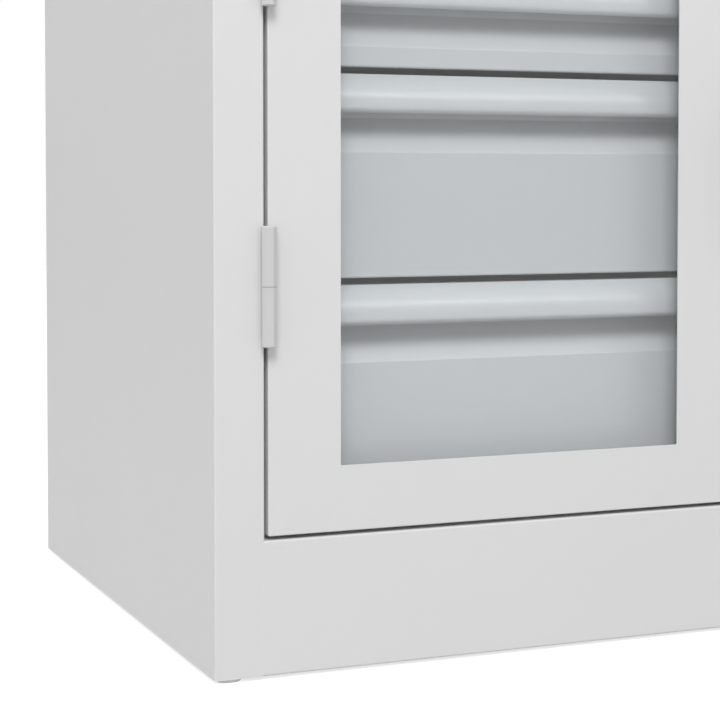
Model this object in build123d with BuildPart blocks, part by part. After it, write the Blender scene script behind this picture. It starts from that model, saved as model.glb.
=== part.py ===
from build123d import *
from math import acos, cos, pi, radians, sin, sqrt, tan
import os

# Heavy-duty cabinet: a welded sheet-steel carcass with two hinged vision doors, full-width drawers
# on telescopic ball runners behind them, and a rack-and-pinion lock that drives two rods.
# Millimetres. X runs to the right, Y to the back, Z up. The floor is z = 0.
os.makedirs("parts", exist_ok=True)

# Carcass
width = 1000.0
depth = 600.0
height = 850.0
steel = 1.5
bend = 1.7
post_width = 43.0
header_height = 42.5
plinth_height = 111.6
jamb_depth = 28.0
jamb_return = 22.0
back_flange = 20.0
pan_flange = 25.0
pan_corner = 2.5
stop_height = 14.0
stop_lap = 14.0
header_flange = 10.0

# Levelling feet
foot_height = 3.0
foot_radius = 12.0
foot_chamfer = 0.8
foot_side_inset = 15.0
foot_front_inset = 14.0
stud_radius = 4.0
stud_length = 42.0
bracket_thickness = 4.0
bracket_width = 37.0
bracket_depth = 44.0
nut_across_flats = 13.0
nut_height = 6.5

# Doors
door_gap = 3.3
door_steel = 1.2
door_bend = 1.3
door_depth = 20.0
door_hem = 12.0
door_corner = 1.6
stile = 63.7
rail = 55.1
window_corner = 1.0

# Window panes and the strips that clamp them
pane_thickness = 3.0
pane_lap = 24.0
strip_width = 20.0
strip_thickness = 1.5
strip_step = 2.0
window_stud_radius = 2.0
window_stud_length = 9.5
window_nut_flats = 7.0
window_nut_height = 3.2
studs_per_side = 3
studs_per_end = 2

# Hinges
barrel_flats = 12.2
barrel_turn = 10.0
barrel_height = 98.5
barrel_split = 0.4
barrel_standoff = 7.8
barrel_chamfer = 0.8
hinge_above_door_bottom = 205.3
leaf_thickness = 1.5
leaf_depth = 15.0
leaf_margin = 3.0
pin_radius = 3.5
pin_half_length = 40.0
washer_radius = 6.0
washer_thickness = 0.3

# Lock, lever and rods
lock_inset = 22.0
lock_height = 461.5
spindle = 7.0
teeth = 12
pitch_radius = 8.0
pressure_angle = 25.0
backlash = 0.12
gear_thickness = 4.0
gear_depth = 8.0
rod_width = 4.5
root_overlap = 0.6
rack_spare = 2.0
rod_margin = 1.0
rod_hole_play = 0.5
keeper_play = 1.5
case_height = 46.0
case_width = 34.0
case_depth = 14.0
case_steel = 1.5
guide_height = 12.0
guide_wall = 2.5
guide_inset = 40.0
plate_width = 30.0
plate_height = 130.0
plate_thickness = 8.0
plate_shift = 14.0
plate_round = 2.0
hub_radius = 10.0
lever_reach = 44.0
lever_thickness = 13.0
lever_length = 112.0
lever_tip_width = 16.0
lever_round = 3.0
plug_radius = 7.0
plug_above_lever = 52.0
plug_proud = 1.5
plug_chamfer = 0.6
plug_tail_radius = 4.0
plug_tail_length = 9.0
keyway_width = 1.6
keyway_height = 8.0
keyway_depth = 5.0

# Magnet catches
catch_width = 30.0
catch_from_centre = 75.0
catch_gap = 0.5

# Drawers
drawer_heights = (180.0, 180.0, 90.0, 90.0, 120.0)
stack_above_plinth = 31.5
drawer_gap = 5.9
front_setback = 42.0
front_side_gap = 3.5
front_steel = 1.2
front_bend = 1.8
nose_radius = 33.0
nose_start = 35.0
nose_bend = 2.0
lip_drop = 1.4
lip_radius = 4.6
lip_return = 9.0
recess_depth = 19.0
recess_height = 19.0
crease_below_top = 66.6
bottom_return = 12.0
tub_depth = 500.0
tub_steel = 1.2
tub_bottom_gap = 8.0
tub_top_gap = 24.0
tub_hem = 8.0
tub_corner = 3.0

# Drawer runners
runner_inset = 2.5
runner_thickness = 19.0
runner_height = 53.0
runner_steel = 1.5
runner_bend = 2.0
runner_above_tub_bottom = 4.0
ball_space = 2.6
cage_play = 0.3
outer_flange = 13.0
middle_offset = 3.5
middle_flange = 12.0
inner_flange = 12.0
cage_length = 300.0
cage_width = 8.0
cage_margin = 1.0
upright_width = 45.0
upright_steel = 2.0
front_upright_setback = 52.0
rear_upright_inset = 120.0

# Fits
running_play = 0.05
sliding_play = 0.15
seat_play = 0.2

# Places that follow from the sizes. The front face stands back so that the lever's front and the
# back of the carcass are as far from the origin as each other.
face = (lever_reach - depth) / 2
back = face + depth
base = foot_height
side = width / 2
inner_bend = bend - steel
jamb = side - post_width
seam = jamb + bend
plinth_top = base + plinth_height
floor_top = plinth_top + stop_height
header_low = height - header_height
front = Plane.XZ.offset(-face)


def behind(distance):
    """The plane that lies this far behind the front face, looking out of the front."""
    return front.offset(-distance)


def fold(points, radius, thickness, skin_side):
    """A bent sheet's section: its outer skin follows the points, and its metal lies on one side."""
    with BuildLine() as section:
        FilletPolyline(*points, radius=radius)
        offset(amount=thickness, side=skin_side)
    make_face(section.edges())


def finish(builder, name):
    """Names the piece and writes it to its own file."""
    builder.part.label = name
    export_step(builder.part, f"parts/{name}.step")


# Side panels. Each is one sheet: back flange, side wall and front post, and above the plinth
# the post turns in again to make the jamb.
with BuildPart() as side_panel_left:
    with BuildSketch(Plane.XY.offset(base)):
        fold(
            [(-side + back_flange, back), (-side, back), (-side, face), (-seam, face)],
            bend, steel, Side.LEFT,
        )
    extrude(amount=height - base)
    with BuildSketch(Plane.XY.offset(plinth_top)):
        fold(
            [
                (-seam - bend, face), (-jamb, face), (-jamb, face + jamb_depth),
                (-jamb - jamb_return, face + jamb_depth),
            ],
            bend, steel, Side.LEFT,
        )
    extrude(amount=header_low - plinth_top)
finish(side_panel_left, "side_panel_left")

with BuildPart() as side_panel_right:
    mirror(side_panel_left.part, about=Plane.YZ)
finish(side_panel_right, "side_panel_right")

# Where the lock rods run, measured from the lock's own axis.
module = 2 * pitch_radius / teeth
tooth_pitch = pi * module
addendum = module
dedendum = 1.25 * module
rod_stroke = pitch_radius * pi / 2
rod_inner = pitch_radius + dedendum
rod_centre = rod_inner + rod_width / 2
rod_y = face + gear_depth + gear_thickness / 2
lock_x = door_gap / 2 + lock_inset
lock_z = lock_height
door_low = plinth_top + door_gap
door_high = header_low - door_gap

# Plinth, flush with the posts. Its top flange runs back under the doors, ends in an upstand,
# and has the hole that the lower lock rod drops into.
with BuildPart() as plinth:
    with BuildSketch(Plane.YZ):
        fold(
            [
                (face + back_flange, base), (face, base), (face, plinth_top),
                (face + jamb_depth, plinth_top),
            ],
            bend, steel, Side.RIGHT,
        )
    extrude(amount=seam, both=True)
    with BuildSketch(Plane.YZ):
        fold(
            [
                (face + jamb_depth - stop_lap, plinth_top), (face + jamb_depth - steel, plinth_top),
                (face + jamb_depth - steel, floor_top),
            ],
            bend, steel, Side.RIGHT,
        )
    extrude(amount=jamb, both=True)
    with BuildSketch(Plane.XY.offset(plinth_top)):
        with Locations((lock_x - rod_centre, rod_y)):
            Rectangle(rod_width + 2 * keeper_play, gear_thickness + 2 * keeper_play)
    extrude(amount=-2 * steel, mode=Mode.SUBTRACT)
finish(plinth, "plinth")

# Header, the same section turned over, with the hole for the upper lock rod.
with BuildPart() as header:
    with BuildSketch(Plane.YZ):
        fold(
            [
                (face + jamb_depth, header_low + header_flange), (face + jamb_depth, header_low),
                (face, header_low), (face, height),
            ],
            bend, steel, Side.RIGHT,
        )
    extrude(amount=seam, both=True)
    with BuildSketch(Plane.XY.offset(header_low)):
        with Locations((lock_x + rod_centre, rod_y)):
            Rectangle(rod_width + 2 * keeper_play, gear_thickness + 2 * keeper_play)
    extrude(amount=2 * steel, mode=Mode.SUBTRACT)
finish(header, "header")

# Back panel, a plain sheet against the side panels' back flanges.
panel_back = back - steel
panel_front = panel_back - steel
with BuildPart() as back_panel:
    with BuildSketch(Plane.XZ.offset(-panel_back)):
        with Locations((0, (base + height) / 2)):
            Rectangle(2 * (side - steel - inner_bend), height - base)
    extrude(amount=steel)
finish(back_panel, "back_panel")


def pan(top, y_front, y_rear):
    """A sheet pan, open below, whose four edges are folded down between the side panels."""
    with BuildPart() as tray:
        with BuildSketch(Plane.XY.offset(top)):
            with Locations((0, (y_front + y_rear) / 2)):
                RectangleRounded(2 * (side - steel), y_rear - y_front, pan_corner)
        extrude(amount=-pan_flange)
        fillet(tray.faces().sort_by(Axis.Z)[-1].edges(), radius=bend)
        offset(amount=-steel, openings=tray.faces().sort_by(Axis.Z)[0])
    return tray


top_panel = pan(height, face + steel, panel_front)
finish(top_panel, "top_panel")
bottom_panel = pan(floor_top, face + jamb_depth, panel_front)
finish(bottom_panel, "bottom_panel")

# Uprights that carry the runners, channels welded to the side walls by their open edges.
runner_face = jamb - runner_inset
upright_fronts = (face + front_upright_setback, back - rear_upright_inset)
with BuildPart() as runner_uprights:
    with BuildSketch(Plane.XY.offset(floor_top)):
        for y in upright_fronts:
            fold(
                [
                    (-side + steel, y), (-runner_face, y), (-runner_face, y + upright_width),
                    (-side + steel, y + upright_width),
                ],
                bend + upright_steel - steel, upright_steel, Side.LEFT,
            )
    extrude(amount=height - pan_flange - floor_top)
    mirror(about=Plane.YZ)
finish(runner_uprights, "runner_uprights")

# Corner brackets, levelling feet and their nuts.
foot_x = side - foot_side_inset
foot_ys = (face + foot_front_inset, back - foot_front_inset)
bracket_ys = (face + steel + inner_bend, panel_front - bracket_depth)
with BuildPart() as foot_brackets:
    with BuildSketch(Plane.XY.offset(base)):
        for y in bracket_ys:
            with Locations((-side + steel, y)):
                Rectangle(bracket_width, bracket_depth, align=(Align.MIN, Align.MIN))
        with Locations(*[(-foot_x, y) for y in foot_ys]):
            Circle(stud_radius + seat_play, mode=Mode.SUBTRACT)
    extrude(amount=bracket_thickness)
    mirror(about=Plane.YZ)
finish(foot_brackets, "foot_brackets")

disc_height = foot_height - seat_play
with BuildPart() as levelling_feet:
    with BuildSketch(Plane.XY):
        with Locations(*[(-foot_x, y) for y in foot_ys]):
            Circle(foot_radius)
    extrude(amount=disc_height)
    rims = levelling_feet.edges().filter_by(GeomType.CIRCLE).group_by(Axis.Z)[0]
    chamfer(rims, length=foot_chamfer)
    with BuildSketch(Plane.XY.offset(disc_height)):
        with Locations(*[(-foot_x, y) for y in foot_ys]):
            Circle(stud_radius)
    extrude(amount=stud_length)
    mirror(about=Plane.YZ)
finish(levelling_feet, "levelling_feet")

with BuildPart() as foot_nuts:
    with BuildSketch(Plane.XY.offset(base + bracket_thickness)):
        with Locations(*[(-foot_x, y) for y in foot_ys]):
            RegularPolygon(nut_across_flats / 2, 6, major_radius=False)
            Circle(stud_radius + running_play, mode=Mode.SUBTRACT)
    extrude(amount=nut_height)
    mirror(about=Plane.YZ)
finish(foot_nuts, "foot_nuts")

# Doors. Each is a pan folded back on all four sides, hemmed inwards, with a window cut out.
door_width = jamb - 1.5 * door_gap
door_height = door_high - door_low
door_x = (door_gap / 2 + jamb - door_gap) / 2
door_z = (door_low + door_high) / 2
window_width = door_width - 2 * stile
window_height = door_height - 2 * rail
pane_front = door_steel
strip_front = pane_front + pane_thickness
stud_line_x = window_width / 2 + pane_lap / 2
stud_line_z = window_height / 2 + pane_lap / 2


def stud_places(centre_x):
    """Where the clamping studs stand round a door's window, as points on the front plane."""
    span_x = 2 * stud_line_x / (studs_per_end + 1)
    span_z = 2 * stud_line_z / (studs_per_side + 1)
    ends = [
        (centre_x + (i - (studs_per_end - 1) / 2) * span_x, door_z + up * stud_line_z)
        for i in range(studs_per_end) for up in (-1, 1)
    ]
    sides = [
        (centre_x + right * stud_line_x, door_z + (i - (studs_per_side - 1) / 2) * span_z)
        for i in range(studs_per_side) for right in (-1, 1)
    ]
    return ends + sides


def door_pan(centre_x):
    """A door's folded pan with its window and the studs welded to the back of its skin."""
    with BuildPart() as pan_door:
        with BuildSketch(front):
            with Locations((centre_x, door_z)):
                RectangleRounded(door_width, door_height, door_corner)
        extrude(amount=-door_depth)
        fillet(pan_door.faces().sort_by(Axis.Y)[0].edges(), radius=door_bend)
        offset(amount=-door_steel, openings=pan_door.faces().sort_by(Axis.Y)[-1])
        with BuildSketch(behind(door_depth)):
            with Locations((centre_x, door_z)):
                RectangleRounded(door_width, door_height, door_corner)
                Rectangle(door_width - 2 * door_hem, door_height - 2 * door_hem, mode=Mode.SUBTRACT)
        extrude(amount=door_steel)
        with BuildSketch(front):
            with Locations((centre_x, door_z)):
                RectangleRounded(window_width, window_height, window_corner)
        extrude(amount=-2 * door_steel, mode=Mode.SUBTRACT)
        with BuildSketch(behind(door_steel)):
            with Locations(*stud_places(centre_x)):
                Circle(window_stud_radius)
        extrude(amount=-window_stud_length)
    return pan_door


door_left = door_pan(-door_x)
finish(door_left, "door_left")

neck_radius = hub_radius / 2

# The right door also has the holes for the spindle and the lock plug, and one for each rod.
with BuildPart() as door_right:
    add(door_pan(door_x).part)
    with BuildSketch(front):
        with Locations((lock_x, lock_z)):
            Circle(neck_radius + seat_play)
        with Locations((lock_x, lock_z + plug_above_lever)):
            Circle(plug_radius + running_play)
    extrude(amount=-2 * door_steel, mode=Mode.SUBTRACT)
    for x, z, down in ((lock_x + rod_centre, door_high, -1), (lock_x - rod_centre, door_low, 1)):
        with BuildSketch(Plane.XY.offset(z)):
            with Locations((x, rod_y)):
                Rectangle(rod_width + 2 * rod_hole_play, gear_thickness + 2 * rod_hole_play)
        extrude(amount=2 * down * door_steel, mode=Mode.SUBTRACT)
finish(door_right, "door_right")

# Window panes, strips and nuts, the same on both doors.
for hand, label in ((-1, "left"), (1, "right")):
    middle = (hand * door_x, door_z)
    with BuildPart() as pane:
        with BuildSketch(behind(pane_front)):
            with Locations(middle):
                Rectangle(window_width + 2 * pane_lap, window_height + 2 * pane_lap)
            with Locations(*stud_places(hand * door_x)):
                Circle(window_stud_radius + sliding_play, mode=Mode.SUBTRACT)
        extrude(amount=-pane_thickness)
    finish(pane, f"window_pane_{label}")

    reach_x = window_width / 2 + strip_step + strip_width / 2
    reach_z = window_height / 2 + strip_step + strip_width / 2
    with BuildPart() as strips:
        with BuildSketch(behind(strip_front)):
            with Locations(*[(middle[0], door_z + up * reach_z) for up in (-1, 1)]):
                Rectangle(2 * reach_x + strip_width, strip_width)
            with Locations(*[(middle[0] + right * reach_x, door_z) for right in (-1, 1)]):
                Rectangle(strip_width, 2 * reach_z - strip_width - 2 * seat_play)
            with Locations(*stud_places(hand * door_x)):
                Circle(window_stud_radius + sliding_play, mode=Mode.SUBTRACT)
        extrude(amount=-strip_thickness)
    finish(strips, f"window_strips_{label}")

    with BuildPart() as nuts:
        with BuildSketch(behind(strip_front + strip_thickness)):
            with Locations(*stud_places(hand * door_x)):
                RegularPolygon(window_nut_flats / 2, 6, major_radius=False)
                Circle(window_stud_radius + running_play, mode=Mode.SUBTRACT)
        extrude(amount=-window_nut_height)
    finish(nuts, f"window_nuts_{label}")

# Hinges. Each has an eight-sided barrel in two halves on one pin. The lower half's leaf is welded
# to the jamb and the upper half's to the edge of the door, both inside the door gap.
hinge_x = jamb - door_gap / 2
hinge_y = face - barrel_standoff
hinge_zs = (door_low + hinge_above_door_bottom, door_high - hinge_above_door_bottom)
half_height = (barrel_height - barrel_split) / 2
bore_radius = pin_radius + running_play
pin_depth = pin_half_length - barrel_split / 2


def barrel_half(centre_z, upper, hand):
    """Half a hinge: barrel, blind bore for the pin and weld leaf, on the left or right side."""
    way = 1 if upper else -1
    near = centre_z + way * barrel_split / 2
    leaf_edge = door_gap / 2 if upper else -door_gap / 2
    leaf_x = hand * (hinge_x - leaf_edge)
    facet_turn = 180 / 8 + hand * barrel_turn
    with BuildPart() as half:
        with BuildSketch(Plane.XY.offset(near)):
            with Locations((hand * hinge_x, hinge_y)):
                RegularPolygon(barrel_flats / 2, 8, major_radius=False, rotation=facet_turn)
        extrude(amount=way * half_height)
        far_edges = half.edges().group_by(Axis.Z)[-1 if upper else 0]
        chamfer(far_edges, length=barrel_chamfer)
        with BuildSketch(Plane.XY.offset(near + way * leaf_margin)):
            with Locations((leaf_x, hinge_y)):
                inward = Align.MIN if (hand > 0) == upper else Align.MAX
                Rectangle(leaf_thickness, barrel_standoff + leaf_depth, align=(inward, Align.MIN))
        extrude(amount=way * (half_height - 2 * leaf_margin))
        with BuildSketch(Plane.XY.offset(near)):
            with Locations((hand * hinge_x, hinge_y)):
                Circle(bore_radius)
        extrude(amount=way * (pin_depth + seat_play), mode=Mode.SUBTRACT)
    return half


with BuildPart() as hinge_barrels_post:
    for hand in (-1, 1):
        for z in hinge_zs:
            add(barrel_half(z, False, hand).part)
finish(hinge_barrels_post, "hinge_barrels_post")

for hand, label in ((-1, "left"), (1, "right")):
    with BuildPart() as hinge_barrels_door:
        for z in hinge_zs:
            add(barrel_half(z, True, hand).part)
    finish(hinge_barrels_door, f"hinge_barrels_{label}")

with BuildPart() as hinge_pins:
    for z in hinge_zs:
        with BuildSketch(Plane.XY.offset(z - pin_half_length)):
            with Locations((-hinge_x, hinge_y), (hinge_x, hinge_y)):
                Circle(pin_radius)
        extrude(amount=2 * pin_half_length)
finish(hinge_pins, "hinge_pins")

with BuildPart() as hinge_washers:
    for z in hinge_zs:
        with BuildSketch(Plane.XY.offset(z - barrel_split / 2)):
            with Locations((-hinge_x, hinge_y), (hinge_x, hinge_y)):
                Circle(washer_radius)
                Circle(pin_radius + sliding_play, mode=Mode.SUBTRACT)
        extrude(amount=washer_thickness)
finish(hinge_washers, "hinge_washers")

# Magnet catches, on the plinth's flange and under the header, behind each door's hems.
catch_front = door_depth + catch_gap
catch_rear = jamb_depth - steel - bend
with BuildPart() as magnet_catches:
    for z, down in ((plinth_top, 1), (header_low, -1)):
        with BuildSketch(Plane.XY.offset(z)):
            with Locations(*[(hand * catch_from_centre, face + catch_front) for hand in (-1, 1)]):
                Rectangle(catch_width, catch_rear - catch_front, align=(Align.CENTER, Align.MIN))
        extrude(amount=down * stop_height)
finish(magnet_catches, "magnet_catches")


# Lock. The lever's spindle turns a pinion, and the pinion drives two racks opposite ways.
def involute_angle(radius):
    """How far an involute has turned away from its base circle's start at this radius."""
    pressure = acos(min(1, pitch_radius * cos(radians(pressure_angle)) / radius))
    return tan(pressure) - pressure


def tooth_outline():
    """One pinion tooth along +X: radial below the base circle, involute above it."""
    base_radius = pitch_radius * cos(radians(pressure_angle))
    root_radius = pitch_radius - dedendum
    tip_radius = pitch_radius + addendum
    flank_steps = 4
    half_at_pitch = (tooth_pitch - backlash) / (4 * pitch_radius)
    start = half_at_pitch + involute_angle(pitch_radius)
    step = (tip_radius - base_radius) / flank_steps
    radii = [base_radius + i * step for i in range(flank_steps + 1)]
    root = (root_radius - root_overlap, -start)
    lower = [root] + [(r, involute_angle(r) - start) for r in radii]
    upper = [(r, -angle) for r, angle in reversed(lower)]
    return [(r * cos(angle), r * sin(angle)) for r, angle in lower + upper]


gear_plane = Plane.XZ.offset(-(face + gear_depth))
with BuildPart() as lock_pinion:
    with BuildSketch(gear_plane):
        with Locations((lock_x, lock_z)):
            Circle(pitch_radius - dedendum)
            with PolarLocations(0, teeth):
                Polygon(*tooth_outline(), align=None)
            Rectangle(spindle + 2 * running_play, spindle + 2 * running_play, mode=Mode.SUBTRACT)
    extrude(amount=-gear_thickness)
finish(lock_pinion, "lock_pinion")

rack_reach = 1.25 * tooth_pitch


def lock_rod(right, up, end_z):
    """A flat rod on one side of the pinion, toothed where it passes it, and running out to end_z."""
    tip = pitch_radius - addendum
    slope = tan(radians(pressure_angle))
    half = (tooth_pitch - backlash) / 4
    half_tip = half - addendum * slope
    half_root = half + dedendum * slope
    tooth = [(rod_inner, -half_root), (tip, -half_tip), (tip, half_tip), (rod_inner, half_root)]
    first = -round(rod_stroke / tooth_pitch) - 2
    start_z = lock_z - up * (rod_stroke + rack_reach + rack_spare)
    with BuildPart() as rod:
        with BuildSketch(gear_plane):
            with Locations((lock_x + right * rod_centre, (start_z + end_z) / 2)):
                Rectangle(rod_width, abs(end_z - start_z))
            for i in range(first, 2):
                z = lock_z + up * (i + 0.5) * tooth_pitch
                if (z - start_z) * up > half_root:
                    Polygon(*[(lock_x + right * x, z + rise) for x, rise in tooth], align=None)
        extrude(amount=-gear_thickness)
    return rod


lock_rod_upper = lock_rod(1, 1, door_high - rod_margin)
finish(lock_rod_upper, "lock_rod_upper")
lock_rod_lower = lock_rod(-1, -1, door_low + rod_margin)
finish(lock_rod_lower, "lock_rod_lower")

# The lock case is a channel screwed to the door's skin. The rods leave through its two ends.
case_back = door_steel + case_depth
case_low = lock_z - case_height / 2
case_high = lock_z + case_height / 2
spindle_corner = spindle * sqrt(2) / 2
with BuildPart() as lock_case:
    with BuildSketch(Plane.YZ.offset(lock_x - case_width / 2)):
        fold(
            [
                (face + door_steel, case_low), (face + case_back, case_low),
                (face + case_back, case_high), (face + door_steel, case_high),
            ],
            bend, case_steel, Side.LEFT,
        )
    extrude(amount=case_width)
    for right, z in ((1, case_high), (-1, case_low)):
        with BuildSketch(Plane.XY.offset(z)):
            with Locations((lock_x + right * rod_centre, rod_y)):
                Rectangle(rod_width + 2 * sliding_play, gear_thickness + 2 * sliding_play)
        extrude(amount=2 * case_steel, both=True, mode=Mode.SUBTRACT)
    with BuildSketch(behind(case_back)):
        with Locations((lock_x, lock_z)):
            Circle(spindle_corner + seat_play)
    extrude(amount=2 * case_steel, mode=Mode.SUBTRACT)
finish(lock_case, "lock_case")

# Guides that hold the rods near their outer ends.
with BuildPart() as rod_guides:
    for right, z in ((1, door_high - guide_inset), (-1, door_low + guide_inset)):
        with BuildSketch(Plane.XY.offset(z - guide_height / 2)):
            with Locations((lock_x + right * rod_centre, face + door_steel)):
                Rectangle(
                    rod_width + 2 * guide_wall,
                    gear_depth + gear_thickness + guide_wall - door_steel,
                    align=(Align.CENTER, Align.MIN),
                )
            with Locations((lock_x + right * rod_centre, rod_y)):
                Rectangle(
                    rod_width + 2 * sliding_play, gear_thickness + 2 * sliding_play, mode=Mode.SUBTRACT
                )
        extrude(amount=guide_height)
finish(rod_guides, "rod_guides")

# Handle plate on the face of the right door, with the seats of the lever's hub and the lock plug.
plate_z = lock_z + plate_shift
with BuildPart() as handle_plate:
    with BuildSketch(front):
        with Locations((lock_x, plate_z)):
            SlotOverall(plate_height, plate_width, rotation=90)
    extrude(amount=plate_thickness)
    fillet(handle_plate.faces().sort_by(Axis.Y)[0].edges(), radius=plate_round)
    with BuildSketch(front):
        with Locations((lock_x, lock_z)):
            Circle(neck_radius + running_play)
        with Locations((lock_x, lock_z + plug_above_lever)):
            Circle(plug_radius + running_play)
    extrude(amount=plate_thickness, mode=Mode.SUBTRACT)
finish(handle_plate, "handle_plate")

# Lever: hub, arm and the square spindle that passes through the door to the pinion.
with BuildPart() as lever_handle:
    with BuildSketch(front.offset(plate_thickness + seat_play)):
        with Locations((lock_x, lock_z)):
            Circle(hub_radius)
    extrude(amount=lever_reach - plate_thickness - seat_play)
    with BuildSketch(front.offset(lever_reach)):
        with BuildLine():
            hub_arc = CenterArc((lock_x, lock_z), hub_radius, 0, 180)
            tip_arc = CenterArc((lock_x, lock_z - lever_length), lever_tip_width / 2, 180, 180)
            Line(hub_arc @ 1, tip_arc @ 0)
            Line(tip_arc @ 1, hub_arc @ 0)
        make_face()
    extrude(amount=-lever_thickness)
    fillet(lever_handle.faces().sort_by(Axis.Y)[0].edges(), radius=lever_round)
    with BuildSketch(front.offset(plate_thickness + seat_play)):
        with Locations((lock_x, lock_z)):
            Circle(neck_radius)
    extrude(amount=-(plate_thickness + seat_play))
    with BuildSketch(front):
        with Locations((lock_x, lock_z)):
            Rectangle(spindle, spindle)
    extrude(amount=-(gear_depth + gear_thickness + case_steel / 2))
finish(lever_handle, "lever_handle")

# Lock plug in the plate, with its keyway and the tail behind the door's skin.
with BuildPart() as lock_plug:
    with BuildSketch(front.offset(plate_thickness + plug_proud)):
        with Locations((lock_x, lock_z + plug_above_lever)):
            Circle(plug_radius)
    extrude(amount=-(plate_thickness + plug_proud + 2 * door_steel))
    chamfer(lock_plug.faces().sort_by(Axis.Y)[0].edges(), length=plug_chamfer)
    with BuildSketch(front.offset(plate_thickness + plug_proud)):
        with Locations((lock_x, lock_z + plug_above_lever)):
            Rectangle(keyway_width, keyway_height)
    extrude(amount=-keyway_depth, mode=Mode.SUBTRACT)
    with BuildSketch(behind(2 * door_steel)):
        with Locations((lock_x, lock_z + plug_above_lever)):
            Circle(plug_tail_radius)
    extrude(amount=-plug_tail_length)
finish(lock_plug, "lock_plug")

# Drawers. Each front is one folded sheet: top flange, bull-nosed handle with a rolled lip,
# finger recess, sloping face out to a crease, flat face and bottom return.
front_y = face + front_setback
front_half = jamb - front_side_gap
tub_half = runner_face - runner_thickness
tub_front = front_y + recess_depth + front_steel
runner_front = tub_front + tub_steel
runner_length = tub_depth
stack_bottom = plinth_top + stack_above_plinth


def drawer_front(low, high):
    """A drawer's folded front between two heights."""
    with BuildPart() as shell:
        with BuildSketch(Plane.YZ):
            with BuildLine() as skin:
                flange = Line((tub_front, high), (front_y + nose_bend, high))
                turn = JernArc(flange @ 1, flange % 1, radius=nose_bend, arc_size=nose_start)
                nose = JernArc(turn @ 1, turn % 1, radius=nose_radius, arc_size=90 - nose_start)
                drop = Line(nose @ 1, nose @ 1 + (0, -lip_drop))
                lip = JernArc(drop @ 1, drop % 1, radius=lip_radius, arc_size=180)
                hem = Line(lip @ 1, lip @ 1 + (0, lip_return))
                roof = JernArc(hem @ 1, hem % 1, radius=front_bend, arc_size=-90)
                roof_z = (roof @ 1).Y
                FilletPolyline(
                    roof @ 1, (front_y + recess_depth, roof_z),
                    (front_y + recess_depth, roof_z - recess_height),
                    (front_y, high - crease_below_top), (front_y, low), (front_y + bottom_return, low),
                    radius=front_bend,
                )
                offset(amount=front_steel, side=Side.LEFT)
            make_face(skin.edges())
        extrude(amount=front_half, both=True)
    return shell


def drawer_tub(low, high):
    """A drawer's tub: floor and four walls, with a hem turned in round the top."""
    with BuildPart() as tub:
        with BuildSketch(Plane.XY.offset(low)):
            with Locations((0, tub_front + tub_depth / 2)):
                RectangleRounded(2 * tub_half, tub_depth, tub_corner)
        extrude(amount=high - low)
        fillet(tub.faces().sort_by(Axis.Z)[0].edges(), radius=front_bend)
        offset(amount=-tub_steel, openings=tub.faces().sort_by(Axis.Z)[-1])
        with BuildSketch(Plane.XY.offset(high)):
            with Locations((0, tub_front + tub_depth / 2)):
                RectangleRounded(2 * tub_half, tub_depth, tub_corner)
                Rectangle(2 * (tub_half - tub_hem), tub_depth - 2 * tub_hem, mode=Mode.SUBTRACT)
        extrude(amount=-tub_steel)
    return tub


# Runner sections on the left side, as distances from the runner's middle height.
outer_half = runner_height / 2
middle_half = outer_half - runner_steel - ball_space
inner_half = middle_half - runner_steel - ball_space
middle_web = runner_face - middle_offset
runner_plane = Plane.XZ.offset(-runner_front)


def channel(web, flange, half, centre_z, skin_side):
    """A rail's C section: its web stands at x = web and its flanges reach to web + flange."""
    fold(
        [
            (web + flange, centre_z + half), (web, centre_z + half),
            (web, centre_z - half), (web + flange, centre_z - half),
        ],
        runner_bend, runner_steel, skin_side,
    )


# Where the ball cages lie, and how thick they are.
cage_rise = runner_steel + ball_space / 2
cage_inset = cage_width / 2 + cage_margin
cage_thickness = ball_space - 2 * cage_play

lows = [stack_bottom + sum(drawer_heights[:i]) for i in range(len(drawer_heights))]
runner_zs = [low + tub_bottom_gap + runner_above_tub_bottom + outer_half for low in lows]

with BuildPart() as runner_outer_rails:
    with BuildSketch(runner_plane):
        for centre_z in runner_zs:
            channel(-runner_face, outer_flange, outer_half, centre_z, Side.LEFT)
    extrude(amount=-runner_length)
    mirror(about=Plane.YZ)
finish(runner_outer_rails, "runner_outer_rails")

for number, (low, tall, centre_z) in enumerate(zip(lows, drawer_heights, runner_zs), start=1):
    shell = drawer_front(low, low + tall - drawer_gap)
    finish(shell, f"drawer_{number}_front")

    tub = drawer_tub(low + tub_bottom_gap, low + tall - tub_top_gap)
    finish(tub, f"drawer_{number}_tub")

    with BuildPart() as inner_rails:
        with BuildSketch(runner_plane):
            channel(-tub_half, -inner_flange, inner_half, centre_z, Side.RIGHT)
        extrude(amount=-(tub_depth - 2 * tub_corner))
        mirror(about=Plane.YZ)
    finish(inner_rails, f"drawer_{number}_inner_rails")

    with BuildPart() as middle_rails:
        with BuildSketch(runner_plane):
            channel(-middle_web, middle_flange, middle_half, centre_z, Side.LEFT)
        extrude(amount=-runner_length)
        mirror(about=Plane.YZ)
    finish(middle_rails, f"drawer_{number}_middle_rails")

    # Ball cages: a strip in each of the spaces between the rails' flanges.
    spaces = (
        (outer_half - cage_rise, -runner_face + outer_flange - cage_inset),
        (middle_half - cage_rise, -tub_half - inner_flange + cage_inset),
    )
    with BuildPart() as ball_cages:
        with BuildSketch(runner_plane.offset(-(runner_length - cage_length) / 2)):
            for rise, x in spaces:
                with Locations((x, centre_z + rise), (x, centre_z - rise)):
                    Rectangle(cage_width, cage_thickness)
        extrude(amount=-cage_length)
        mirror(about=Plane.YZ)
    finish(ball_cages, f"drawer_{number}_ball_cages")
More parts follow.
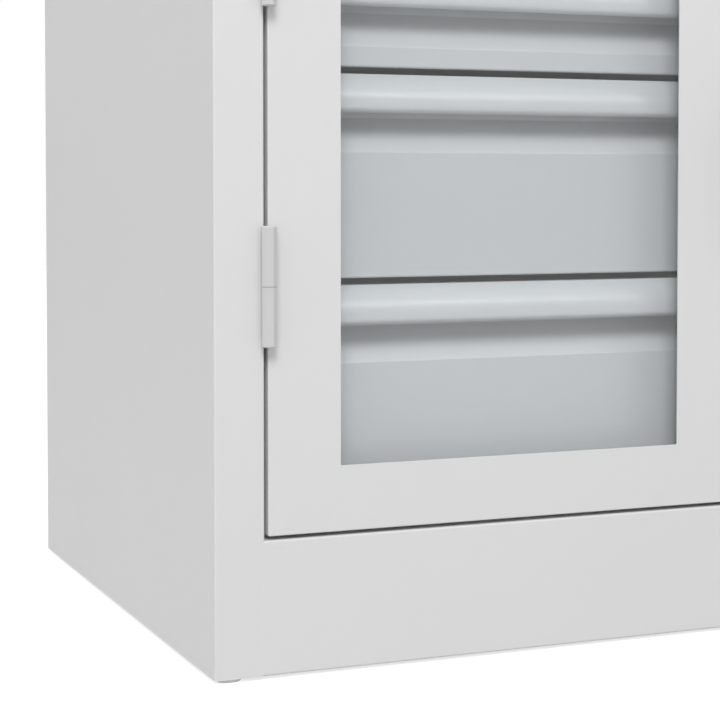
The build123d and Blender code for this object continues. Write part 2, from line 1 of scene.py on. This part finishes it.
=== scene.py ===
# %% [markdown]
# # A heavy-duty cabinet with vision doors
#
# The cabinet is sheet steel, folded, spot-welded and powder-coated light grey. Two doors with
# clear acrylic windows close it, and full-width drawers stand behind them. The shapes come from
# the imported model. This lesson gives them their finishes, adds the small parts that a maker
# would miss, and sets the light and the camera. Everything is in metres, X to the right, Y to
# the back, Z up.

# %% Load the frame
import math
import bmesh
import bpy
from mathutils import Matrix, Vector


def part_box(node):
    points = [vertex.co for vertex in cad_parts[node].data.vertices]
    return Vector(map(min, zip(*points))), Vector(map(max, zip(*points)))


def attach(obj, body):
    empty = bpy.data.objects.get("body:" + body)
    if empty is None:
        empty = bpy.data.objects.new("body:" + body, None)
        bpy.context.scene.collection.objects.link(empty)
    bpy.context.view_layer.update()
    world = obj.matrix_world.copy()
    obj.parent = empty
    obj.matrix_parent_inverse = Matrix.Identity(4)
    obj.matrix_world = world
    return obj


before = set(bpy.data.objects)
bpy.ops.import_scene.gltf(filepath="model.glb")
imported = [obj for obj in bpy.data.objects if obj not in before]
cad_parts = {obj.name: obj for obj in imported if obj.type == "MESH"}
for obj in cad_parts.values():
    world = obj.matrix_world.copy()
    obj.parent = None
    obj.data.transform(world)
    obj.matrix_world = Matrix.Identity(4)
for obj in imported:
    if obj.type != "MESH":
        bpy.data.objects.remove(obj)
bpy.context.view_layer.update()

MM = 0.001


# %% [markdown]
# ## The camera
#
# The picture is a close view of the lower left corner, taken from the left at half the
# cabinet's height with a long lens. A camera is placed by hand or worked out from straight
# edges. Here it was worked out: the lower edges of the side wall, the plinth and the window fix
# its place, its turn and its lens. The upright edges stay almost parallel because the camera
# looks only a little down, and the lens shift moves the frame down to the plinth.

# %% Camera
CAMERA_PLACE = (-0.9586, -1.6979, 0.4060)
CAMERA_TURN = 22.42
CAMERA_TILT = 2.09
CAMERA_LENS = 92.59
CAMERA_SHIFT = -0.15
SENSOR_WIDTH = 36.0

camera_data = bpy.data.cameras.new("camera")
camera_data.sensor_width = SENSOR_WIDTH
camera_data.lens = CAMERA_LENS
camera_data.shift_y = CAMERA_SHIFT
camera = bpy.data.objects.new("camera", camera_data)
camera.location = CAMERA_PLACE
camera.rotation_euler = (math.radians(90 - CAMERA_TILT), 0, math.radians(-CAMERA_TURN))
bpy.context.scene.collection.objects.link(camera)
bpy.context.scene.camera = camera
print("Camera turned", CAMERA_TURN, "degrees to the right, lens", CAMERA_LENS, "mm")

# %% [markdown]
# ## Colours and nodes
#
# Paint shades are written as the hex values that a screen shows, and Blender mixes light in
# linear values, so one function turns the first into the second. A second function adds a
# shader node with its settings and links, so that each material below reads as a list of what
# it is made of.


# %% Helpers for materials
def linear(shade):
    """A screen's hex shade, such as 'DDDDDD', as a linear colour, by the sRGB curve."""
    channels = [int(shade[i:i + 2], 16) / 255 for i in (0, 2, 4)]
    return (*[c / 12.92 if c < 0.04045 else ((c + 0.055) / 1.055) ** 2.4 for c in channels], 1.0)


def add(tree, kind, inputs=None, **settings):
    """Adds a node. An input that is another node's output becomes a link."""
    made = tree.nodes.new("ShaderNode" + kind)
    for name, value in settings.items():
        setattr(made, name, value)
    for name, value in (inputs or {}).items():
        if isinstance(value, bpy.types.NodeSocket):
            tree.links.new(value, made.inputs[name])
        else:
            made.inputs[name].default_value = value
    return made


def new_material(name):
    """A material whose node tree is empty."""
    made = bpy.data.materials.new(name)
    made.use_nodes = True
    made.node_tree.nodes.clear()
    return made


# %% [markdown]
# ## Powder coat
#
# The whole carcass is powder-coated: dry paint is sprayed on and baked, and it flows into a skin
# with a faint orange peel, a satin gloss and a thinner, shinier film on every outer edge. It
# could be one flat grey, but then large panels look like paper. Here a coarse noise moves the
# shade by a hundredth, and because a noise rarely comes near 0 or 1, only the middle of its
# range is spread over that hundredth. A fine noise gives the orange peel as a bump. Real orange
# peel is about 1 mm across, one pixel in the picture, so a second wave of 6 mm stands in for it
# there, in the bump and in the gloss. The Bevel node finds the edges: where its rounded normal
# leans away from the sheet's own, the paint is thin and shinier. Its colour is also made a
# little lighter there, as a painted highlight along the edge.

# %% Powder coat
CLOUD = 180 * MM
CLOUD_RANGE = (0.3, 0.7)
CLOUD_TONE = (0.99, 1.0)
PEEL = 1.2 * MM
PEEL_HEIGHT = 0.010 * MM
WAVE = 6.0 * MM
WAVE_HEIGHT = 0.020 * MM
GLOSS_DRIFT = 0.05
EDGE_REACH = 1.0 * MM
EDGE_LEAN = 0.75
EDGE_HIGHLIGHT = 0.04
EDGE_SHINIER = 0.12


def powder_coat(name, shade, rough=0.45):
    """Baked powder paint on folded sheet steel."""
    made = new_material(name)
    tree = made.node_tree
    place = add(tree, "TexCoord").outputs["Object"]
    cloud = add(tree, "TexNoise", {"Vector": place, "Scale": 1 / CLOUD, "Detail": 2.0})
    peel = add(tree, "TexNoise", {"Vector": place, "Scale": 1 / PEEL, "Detail": 1.0})
    wave = add(tree, "TexNoise", {"Vector": place, "Scale": 1 / WAVE, "Detail": 1.0})

    rounded = add(tree, "Bevel", {"Radius": EDGE_REACH}, samples=4)
    facing = add(
        tree, "VectorMath",
        {0: rounded.outputs["Normal"], 1: add(tree, "NewGeometry").outputs["Normal"]},
        operation="DOT_PRODUCT",
    )
    edge = add(
        tree, "MapRange",
        {"Value": facing.outputs["Value"], "From Min": 1.0, "From Max": EDGE_LEAN},
    ).outputs["Result"]

    shading = add(
        tree, "MapRange",
        {
            "Value": cloud.outputs["Fac"],
            "From Min": CLOUD_RANGE[0], "From Max": CLOUD_RANGE[1],
            "To Min": CLOUD_TONE[0], "To Max": CLOUD_TONE[1],
        },
    )
    # Painted highlight: the colour is made a little lighter along every outer edge.
    tone_and_edge_highlight = add(
        tree, "Math", {0: edge, 1: EDGE_HIGHLIGHT, 2: shading.outputs["Result"]},
        operation="MULTIPLY_ADD",
    )
    paint = add(tree, "HueSaturation", {"Value": tone_and_edge_highlight.outputs[0], "Color": linear(shade)})
    film = add(
        tree, "MapRange",
        {
            "Value": wave.outputs["Fac"],
            "To Min": rough - GLOSS_DRIFT, "To Max": rough + GLOSS_DRIFT,
        },
    )
    worn = add(
        tree, "Math", {0: edge, 1: -EDGE_SHINIER, 2: film.outputs["Result"]},
        operation="MULTIPLY_ADD",
    )
    coarse = add(tree, "Bump", {"Distance": WAVE_HEIGHT, "Height": wave.outputs["Fac"]})
    fine = add(
        tree, "Bump",
        {
            "Distance": PEEL_HEIGHT, "Height": peel.outputs["Fac"],
            "Normal": coarse.outputs["Normal"],
        },
    )
    skin = add(
        tree, "BsdfPrincipled",
        {
            "Base Color": paint.outputs["Color"], "Roughness": worn.outputs[0], "IOR": 1.5,
            "Normal": fine.outputs["Normal"],
        },
    )
    add(tree, "OutputMaterial", {"Surface": skin.outputs["BSDF"]})
    return made


finishes = {
    "powder_coat": powder_coat("powder coat, light grey", "DEDEDE"),
    # The drawers' grey is darker than the carcass's, a painted shade for their place behind the
    # panes.
    "drawer_paint": powder_coat("powder coat, drawers, painted shade", "D6D6D6", rough=0.30),
    "hinge_paint": powder_coat("powder coat, hinges", "CCCCCC", rough=0.38),
    "weld_paint": powder_coat("powder coat, thin over a weld", "C8C8C8", rough=0.30),
}
print("Orange peel", PEEL / MM, "mm, drawn with a wave of", WAVE / MM, "mm")

# %% [markdown]
# ## Galvanised sheet
#
# The drawer runners, the uprights that carry them and the strips that clamp the windows aren't
# painted. They are rolled and cut from galvanised sheet, whose zinc froze in flat crystals a few
# millimetres wide, each a little lighter or duller than the next. A Voronoi texture has just
# such cells, and the random colour of each cell sets its tone and its roughness. It is a metal,
# so it keeps the default IOR.

# %% Galvanised sheet
CRYSTAL = 7.0 * MM
CRYSTAL_TONE = (0.88, 1.04)
CRYSTAL_ROUGH = (0.38, 0.55)


def galvanised_sheet(name, shade):
    """Hot-dip galvanised sheet, dull, with frozen crystals."""
    made = new_material(name)
    tree = made.node_tree
    place = add(tree, "TexCoord").outputs["Object"]
    crystals = add(tree, "TexVoronoi", {"Vector": place, "Scale": 1 / CRYSTAL})
    tone = add(tree, "SeparateColor", {"Color": crystals.outputs["Color"]})
    value = add(
        tree, "MapRange",
        {"Value": tone.outputs["Red"], "To Min": CRYSTAL_TONE[0], "To Max": CRYSTAL_TONE[1]},
    )
    rough = add(
        tree, "MapRange",
        {"Value": tone.outputs["Green"], "To Min": CRYSTAL_ROUGH[0], "To Max": CRYSTAL_ROUGH[1]},
    )
    zinc = add(
        tree, "HueSaturation", {"Value": value.outputs["Result"], "Color": linear(shade)}
    )
    skin = add(
        tree, "BsdfPrincipled",
        {
            "Base Color": zinc.outputs["Color"], "Metallic": 1.0,
            "Roughness": rough.outputs["Result"],
        },
    )
    add(tree, "OutputMaterial", {"Surface": skin.outputs["BSDF"]})
    return made


finishes["galvanised_sheet"] = galvanised_sheet("galvanised sheet", "C4C8CB")
print("Zinc crystals", CRYSTAL / MM, "mm across")

# %% [markdown]
# ## Plated metal
#
# Nuts, pins and rods are electroplated: a thin even zinc that is brighter than galvanised sheet
# and follows the drawn steel below, whose marks run upwards here. The lock plug is nickel-plated
# and polished. On every plated piece the Ambient Occlusion node, kept to the piece's own shape,
# darkens the metal where it is hemmed in. This is a painted shade in recesses such as the
# keyway, which also stands for the old oil and dust there. All are metals and keep the default
# IOR. Real drawing marks are finer than 0.6 mm, which is as coarse as they need to be to show at
# all.

# %% Plated and drawn metal
GRAIN = 0.6 * MM
GRAIN_STRETCH = 12.0
GRAIN_TONE = (0.92, 1.05)
GRAIN_DRIFT = 0.08
GRAIN_HEIGHT = 0.004 * MM
POLISHED_HEIGHT = 0.001 * MM
RECESS_REACH = 3.0 * MM
RECESS_OPEN = (0.3, 0.8)
RECESS_DARK = 0.15


def drawn_metal(name, shade, rough, grain_height=GRAIN_HEIGHT):
    """Drawn or turned metal: fine marks along the length, under any plating."""
    made = new_material(name)
    tree = made.node_tree
    place = add(tree, "TexCoord").outputs["Object"]
    along = add(tree, "Mapping", {"Vector": place, "Scale": (1.0, 1.0, 1 / GRAIN_STRETCH)})
    grain = add(
        tree, "TexNoise",
        {"Vector": along.outputs["Vector"], "Scale": 1 / GRAIN, "Detail": 3.0},
    )
    value = add(
        tree, "MapRange",
        {"Value": grain.outputs["Fac"], "To Min": GRAIN_TONE[0], "To Max": GRAIN_TONE[1]},
    )
    sheen = add(
        tree, "MapRange",
        {
            "Value": grain.outputs["Fac"],
            "To Min": rough - GRAIN_DRIFT, "To Max": rough + GRAIN_DRIFT,
        },
    )
    # Painted shade: the metal is darkened where its own shape hems it in, and this also stands
    # for grime in the keyway.
    open_sky = add(
        tree, "AmbientOcclusion", {"Distance": RECESS_REACH}, only_local=True, samples=8
    )
    grime_and_shade = add(
        tree, "MapRange",
        {
            "Value": open_sky.outputs["AO"],
            "From Min": RECESS_OPEN[0], "From Max": RECESS_OPEN[1], "To Min": RECESS_DARK,
        },
    )
    tone_and_shade = add(
        tree, "Math", {0: value.outputs["Result"], 1: grime_and_shade.outputs["Result"]},
        operation="MULTIPLY",
    )
    metal = add(tree, "HueSaturation", {"Value": tone_and_shade.outputs[0], "Color": linear(shade)})
    marks = add(tree, "Bump", {"Distance": grain_height, "Height": grain.outputs["Fac"]})
    skin = add(
        tree, "BsdfPrincipled",
        {
            "Base Color": metal.outputs["Color"], "Metallic": 1.0,
            "Roughness": sheen.outputs["Result"], "Normal": marks.outputs["Normal"],
        },
    )
    add(tree, "OutputMaterial", {"Surface": skin.outputs["BSDF"]})
    return made


finishes["zinc_plated_steel"] = drawn_metal("zinc plate on steel", "D2D4D6", 0.32)
finishes["foot_zinc"] = drawn_metal("zinc plate, worn dull", "B4B5B6", 0.55)
finishes["oiled_steel"] = drawn_metal("steel washer, oiled", "4C4A47", 0.34)
finishes["lock_chrome"] = drawn_metal(
    "nickel plate, polished", "D9D6D0", 0.16, grain_height=POLISHED_HEIGHT
)
print("Drawn grain", GRAIN / MM, "mm wide, grime within", RECESS_REACH / MM, "mm of a recess")

# %% [markdown]
# ## Moulded plastics
#
# The lever and its plate are polyamide with glass fibre, and the catches and the rods' guides
# are acetal. All are injection-moulded and leave the mould with its fine spark-eroded grain, so
# their gloss is broken up. The grain of 0.5 mm is drawn as a bump, and the roughness follows it.
# A slow noise makes the colour a little uneven, as it is in thick mouldings.

# %% Moulded plastics
SPARK_GRAIN = 0.5 * MM
SPARK_DEPTH = 0.015 * MM
SPARK_DRIFT = 0.08
PATCH = 25 * MM
PATCH_TONE = (0.9, 1.1)


def moulded_plastic(name, shade, rough):
    """Injection-moulded plastic with a spark-eroded grain."""
    made = new_material(name)
    tree = made.node_tree
    place = add(tree, "TexCoord").outputs["Object"]
    grain = add(tree, "TexNoise", {"Vector": place, "Scale": 1 / SPARK_GRAIN, "Detail": 2.0})
    patch = add(tree, "TexNoise", {"Vector": place, "Scale": 1 / PATCH})
    value = add(
        tree, "MapRange",
        {"Value": patch.outputs["Fac"], "To Min": PATCH_TONE[0], "To Max": PATCH_TONE[1]},
    )
    colour = add(
        tree, "HueSaturation", {"Value": value.outputs["Result"], "Color": linear(shade)}
    )
    sheen = add(
        tree, "MapRange",
        {
            "Value": grain.outputs["Fac"],
            "To Min": rough - SPARK_DRIFT, "To Max": rough + SPARK_DRIFT,
        },
    )
    bump = add(tree, "Bump", {"Distance": SPARK_DEPTH, "Height": grain.outputs["Fac"]})
    skin = add(
        tree, "BsdfPrincipled",
        {
            "Base Color": colour.outputs["Color"], "Roughness": sheen.outputs["Result"],
            "IOR": 1.53, "Normal": bump.outputs["Normal"],
        },
    )
    add(tree, "OutputMaterial", {"Surface": skin.outputs["BSDF"]})
    return made


finishes["catch_plastic"] = moulded_plastic("acetal, off-white", "DADAD6", 0.4)
finishes["handle_plastic"] = moulded_plastic("polyamide with glass fibre, black", "2A2B2D", 0.42)
print("Spark-eroded grain", SPARK_GRAIN / MM, "mm")

# %% [markdown]
# ## Acrylic panes
#
# Each window is a 3 mm sheet of cast acrylic, polished, with the faint blue-green that a clear
# sheet has. Glass that really bends the light makes every ray behind it noisy, and a thin flat
# sheet hardly bends it. So lamp rays and soft light pass through it straight and only take its
# tint, and the eye and mirror rays see acrylic with its own reflection. The Light Path node
# tells these rays apart. The floor and the air use it again below, so one function joins the
# kinds of ray that are asked for.

# %% Acrylic
ACRYLIC_TINT = "F5F7F8"
HAZE = 60 * MM
HAZE_ROUGH = 0.03


def any_ray(tree, *kinds):
    """A value that is 1 for a ray of any of these kinds, such as 'Shadow', and 0 for others."""
    rays = add(tree, "LightPath")
    found = rays.outputs[f"Is {kinds[0]} Ray"]
    for kind in kinds[1:]:
        both = {0: found, 1: rays.outputs[f"Is {kind} Ray"]}
        found = add(tree, "Math", both, operation="MAXIMUM").outputs[0]
    return found


def cast_acrylic(name, shade):
    """Clear cast acrylic sheet."""
    made = new_material(name)
    tree = made.node_tree
    straight = any_ray(tree, "Shadow", "Diffuse")
    place = add(tree, "TexCoord").outputs["Object"]
    haze = add(tree, "TexNoise", {"Vector": place, "Scale": 1 / HAZE, "Detail": 4.0})
    polish = add(tree, "MapRange", {"Value": haze.outputs["Fac"], "To Max": HAZE_ROUGH})
    sheet = add(
        tree, "BsdfPrincipled",
        {
            "Base Color": linear(shade), "Roughness": polish.outputs["Result"], "IOR": 1.49,
            "Transmission Weight": 1.0,
        },
    )
    clear = add(tree, "BsdfTransparent", {"Color": linear(shade)})
    mixed = add(
        tree, "MixShader", {0: straight, 1: sheet.outputs["BSDF"], 2: clear.outputs["BSDF"]}
    )
    add(tree, "OutputMaterial", {"Surface": mixed.outputs["Shader"]})
    return made


finishes["acrylic"] = cast_acrylic("cast acrylic, clear", ACRYLIC_TINT)
print("Acrylic tint", ACRYLIC_TINT)

# %% [markdown]
# ## Dress the model
#
# Each solid of the model names the finish that its maker would give it. Its shape is right, so
# only its material changes. Two zinc-plated pieces differ from the rest: the feet are scuffed
# dull by the floor, and the thin washers in the hinges are dark with oil, which draws the fine
# dark line between the two halves of each barrel.

# %% Finishes on the model
WORN_PIECES = {"levelling_feet": "foot_zinc", "hinge_washers": "oiled_steel"}

for node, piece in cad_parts.items():
    for held in piece.material_slots:
        held.material = finishes[WORN_PIECES.get(node, held.material.name)]
print(len(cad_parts), "pieces dressed in", len(finishes), "finishes")

# %% [markdown]
# ## Spot welds
#
# The carcass is welded before it is painted. The welder pinches two sheets between copper tips
# and leaves a round shallow mark 7 mm across, with a low rim where the hot steel crept outwards.
# Powder clings thinly to it, so the mark stays a little darker and shinier than the sheet. On
# the front the marks are ground flush, but the back keeps them. A bump in the paint would need a
# mask for each row, so one mark is turned from a short outline instead and repeated along rows
# that are measured from the model's own sheets. A real rim is under 0.2 mm high, and it is drawn
# twice as high, or it wouldn't show.

# %% Helpers for small pieces
SAME_POINT = 0.01 * MM


def placed(name, shape, finish, body):
    """Turns mesh code into a piece of the cabinet that rides on one of its bodies."""
    bmesh.ops.remove_doubles(shape, verts=shape.verts, dist=SAME_POINT)
    bmesh.ops.recalc_face_normals(shape, faces=shape.faces)
    mesh = bpy.data.meshes.new(name)
    shape.to_mesh(mesh)
    shape.free()
    mesh.materials.append(finishes[finish])
    piece = bpy.data.objects.new(name, mesh)
    bpy.context.scene.collection.objects.link(piece)
    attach(piece, body)


def row(first, last, pitch, from_end):
    """Places at an even pitch between two points, kept off both ends."""
    way = (last - first).normalized()
    run = (last - first).length - 2 * from_end
    count = round(run / pitch)
    return [first + (from_end + i * run / count) * way for i in range(count + 1)]


# %% Spot welds
WELD_OUTLINE = [(3.8, -0.05), (3.5, 0.25), (3.0, 0.40), (2.5, 0.28), (2.0, 0.08), (0.0, 0.03)]
WELD_STEPS = 20
WELD_PITCH = 45.0 * MM
WELD_FROM_END = 30.0 * MM
BACK_FLANGE = 20.0 * MM


def weld_mark(shape, place):
    """One round mark, turned from its outline in mm, on a sheet that faces the back."""
    angles = [2 * math.pi * i / WELD_STEPS for i in range(WELD_STEPS)]
    rings = []
    for radius, height in WELD_OUTLINE:
        ring = [Vector((radius * math.cos(a), height, radius * math.sin(a))) for a in angles]
        rings.append([shape.verts.new(place + MM * point) for point in ring])
    for outer, inner in zip(rings, rings[1:]):
        for i in range(WELD_STEPS):
            shape.faces.new((outer[i - 1], outer[i], inner[i], inner[i - 1])).smooth = True
    shape.faces.new(rings[0])


wall_low, wall_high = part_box("side_panel_left")
sheet_low, sheet_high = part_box("back_panel")
flange_x = wall_low.x + BACK_FLANGE / 2
end = flange_x + BACK_FLANGE / 2
welds = []
for hand in (-1, 1):
    low = Vector((hand * flange_x, wall_high.y, sheet_low.z))
    high = Vector((hand * flange_x, wall_high.y, sheet_high.z))
    welds += row(low, high, WELD_PITCH, WELD_FROM_END)
for pan in ("top_panel", "bottom_panel"):
    pan_low, pan_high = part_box(pan)
    middle = (pan_low.z + pan_high.z) / 2
    left = Vector((end, sheet_high.y, middle))
    right = Vector((-end, sheet_high.y, middle))
    welds += row(left, right, WELD_PITCH, WELD_FROM_END)
marks = bmesh.new()
for place in welds:
    weld_mark(marks, place)
placed("spot_welds", marks, "weld_paint", "carcass")
print(len(welds), "spot welds on the back, pitch", WELD_PITCH / MM, "mm")

# %% [markdown]
# ## Magnet catches
#
# A magnet catch is a plastic case with a flat magnet between two steel pole plates, and only the
# plates' rounded edges stand out of it to meet the door. The case is in the model. The plates
# are made here as thin bars with round ends and softened edges, two to a case.

# %% Pole plates
POLE_LENGTH = 24.0 * MM
POLE_THICKNESS = 2.0 * MM
POLE_PROUD = 0.3 * MM
POLE_SUNK = 1.0 * MM
POLE_APART = 7.0 * MM
POLE_ROUND = 0.12 * MM
CATCH_FROM_CENTRE = 75.0 * MM
CATCH_HEIGHT = 14.0 * MM
END_STEPS = 8


def pole_plate(shape, place):
    """The visible edge of one plate: a flat bar with round ends, softened in front."""
    half = (POLE_LENGTH - POLE_THICKNESS) / 2
    front = -POLE_PROUD
    rings = []
    for inset, depth in ((0.0, POLE_SUNK), (0.0, front + POLE_ROUND), (POLE_ROUND, front)):
        reach = POLE_THICKNESS / 2 - inset
        ring = []
        for side in (1, -1):
            for i in range(END_STEPS + 1):
                angle = math.pi * i / END_STEPS - math.pi / 2
                across = side * (half + reach * math.cos(angle))
                up = side * reach * math.sin(angle)
                ring.append(shape.verts.new(place + Vector((across, depth, up))))
        rings.append(ring)
    for outer, inner in zip(rings, rings[1:]):
        for i in range(len(outer)):
            shape.faces.new((outer[i - 1], outer[i], inner[i], inner[i - 1]))
    shape.faces.new(rings[0])
    shape.faces.new(rings[-1])


catch_low, catch_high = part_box("magnet_catches")
poles = bmesh.new()
for middle in (catch_low.z + CATCH_HEIGHT / 2, catch_high.z - CATCH_HEIGHT / 2):
    for hand in (-1, 1):
        for up in (-1, 1):
            height = middle + up * POLE_APART / 2
            pole_plate(poles, Vector((hand * CATCH_FROM_CENTRE, catch_low.y, height)))
placed("catch_poles", poles, "zinc_plated_steel", "carcass")
print("Pole plates", POLE_LENGTH / MM, "by", POLE_THICKNESS / MM, "mm")

# %% [markdown]
# ## Floor
#
# The picture is a studio view on white. A real studio has a white sweep of paper under and
# behind the object. Here the cabinet stands on a pale round floor that takes its shadow. The
# white comes from a glow that only the camera, mirrors and clear sheets can see, and not from
# more light on the cabinet, so the floor's own colour is a pale grey that throws little light
# back up.

# %% Floor
FLOOR_SIZE = 14.0
FLOOR_SIDES = 96
FLOOR_SHADE = "BEBEBE"
FLOOR_GLOW = 0.70
WHITE = "FFFFFF"


def studio_floor():
    """A round pale floor that looks white and still takes the cabinet's shadow."""
    made = new_material("studio floor, matt white")
    tree = made.node_tree
    seen = any_ray(tree, "Camera", "Glossy", "Transmission")
    glow = add(tree, "Math", {0: seen, 1: FLOOR_GLOW}, operation="MULTIPLY")
    matt = add(
        tree, "BsdfPrincipled",
        {
            "Base Color": linear(FLOOR_SHADE), "Roughness": 0.9,
            "Emission Color": linear(WHITE), "Emission Strength": glow.outputs[0],
        },
    )
    add(tree, "OutputMaterial", {"Surface": matt.outputs["BSDF"]})

    mesh = bpy.data.meshes.new("studio_floor")
    disc = bmesh.new()
    bmesh.ops.create_circle(disc, cap_ends=True, segments=FLOOR_SIDES, radius=FLOOR_SIZE / 2)
    disc.to_mesh(mesh)
    disc.free()
    mesh.materials.append(made)
    floor = bpy.data.objects.new("studio_floor", mesh)
    bpy.context.scene.collection.objects.link(floor)


studio_floor()
print("Floor", FLOOR_SIZE, "m across")

# %% [markdown]
# ## Air
#
# Most of the light in such a picture comes evenly from all sides, off white walls. The world
# gives that light at a little over half of white, and shows plain white where it is looked at.

# %% Air
AIR_LIGHT = 0.60

world = bpy.data.worlds.new("studio air")
bpy.context.scene.world = world
world.use_nodes = True
air = world.node_tree
air.nodes.clear()
seen = any_ray(air, "Camera", "Glossy", "Transmission")
strength = add(air, "MapRange", {"Value": seen, "To Min": AIR_LIGHT})
glow = add(
    air, "Background", {"Color": linear(WHITE), "Strength": strength.outputs["Result"]}
)
add(air, "OutputWorld", {"Surface": glow.outputs["Background"]})

bpy.context.scene.view_settings.view_transform = "Standard"
print("Air", AIR_LIGHT, "of white")

# %% [markdown]
# ## Lamps
#
# A soft lamp stands behind the camera and above it. It makes the front a little brighter than
# the side and draws the soft shadow below each handle, and its other shadows hide behind the
# pieces that cast them. A weak lamp on the left lifts the side wall. The third one stands where
# the handles mirror the camera, and it shows in reflections only, so it draws the band of sheen
# along them and no shadow at the window's end. Each is placed by two angles, seen from the
# front of the cabinet: its turn from straight ahead, which is to the picture's right where the
# number is positive, and its rise above level.

# %% Lamps
LAMP_AIM = Vector((0.0, 0.0, 0.4))
LAMP_DISTANCE = 5.5
LAMPS = {
    "key_lamp": {"turn": -23.0, "rise": 40.0, "size": 2.2, "power": 154.0},
    "side_lamp": {"turn": -85.0, "rise": 25.0, "size": 2.4, "power": 19.0},
    "sheen_lamp": {"turn": 25.0, "rise": 32.0, "size": 1.2, "power": 35.0, "sheen_only": True},
}


def soft_lamp(name, turn, rise, size, power, sheen_only=False):
    """A round soft lamp that looks at the cabinet. Its turn and rise are in degrees."""
    turn, rise = math.radians(turn), math.radians(rise)
    towards = Vector(
        (math.cos(rise) * math.sin(turn), -math.cos(rise) * math.cos(turn), math.sin(rise))
    )
    light = bpy.data.lights.new(name, "AREA")
    light.shape = "DISK"
    light.size = size
    light.energy = power
    lamp = bpy.data.objects.new(name, light)
    lamp.location = LAMP_AIM + LAMP_DISTANCE * towards
    lamp.rotation_euler = (-towards).to_track_quat("-Z", "Y").to_euler()
    lamp.visible_diffuse = not sheen_only
    bpy.context.scene.collection.objects.link(lamp)


for name, lamp in LAMPS.items():
    soft_lamp(name, **lamp)
    print(name, lamp["size"], "m across,", lamp["power"], "W")
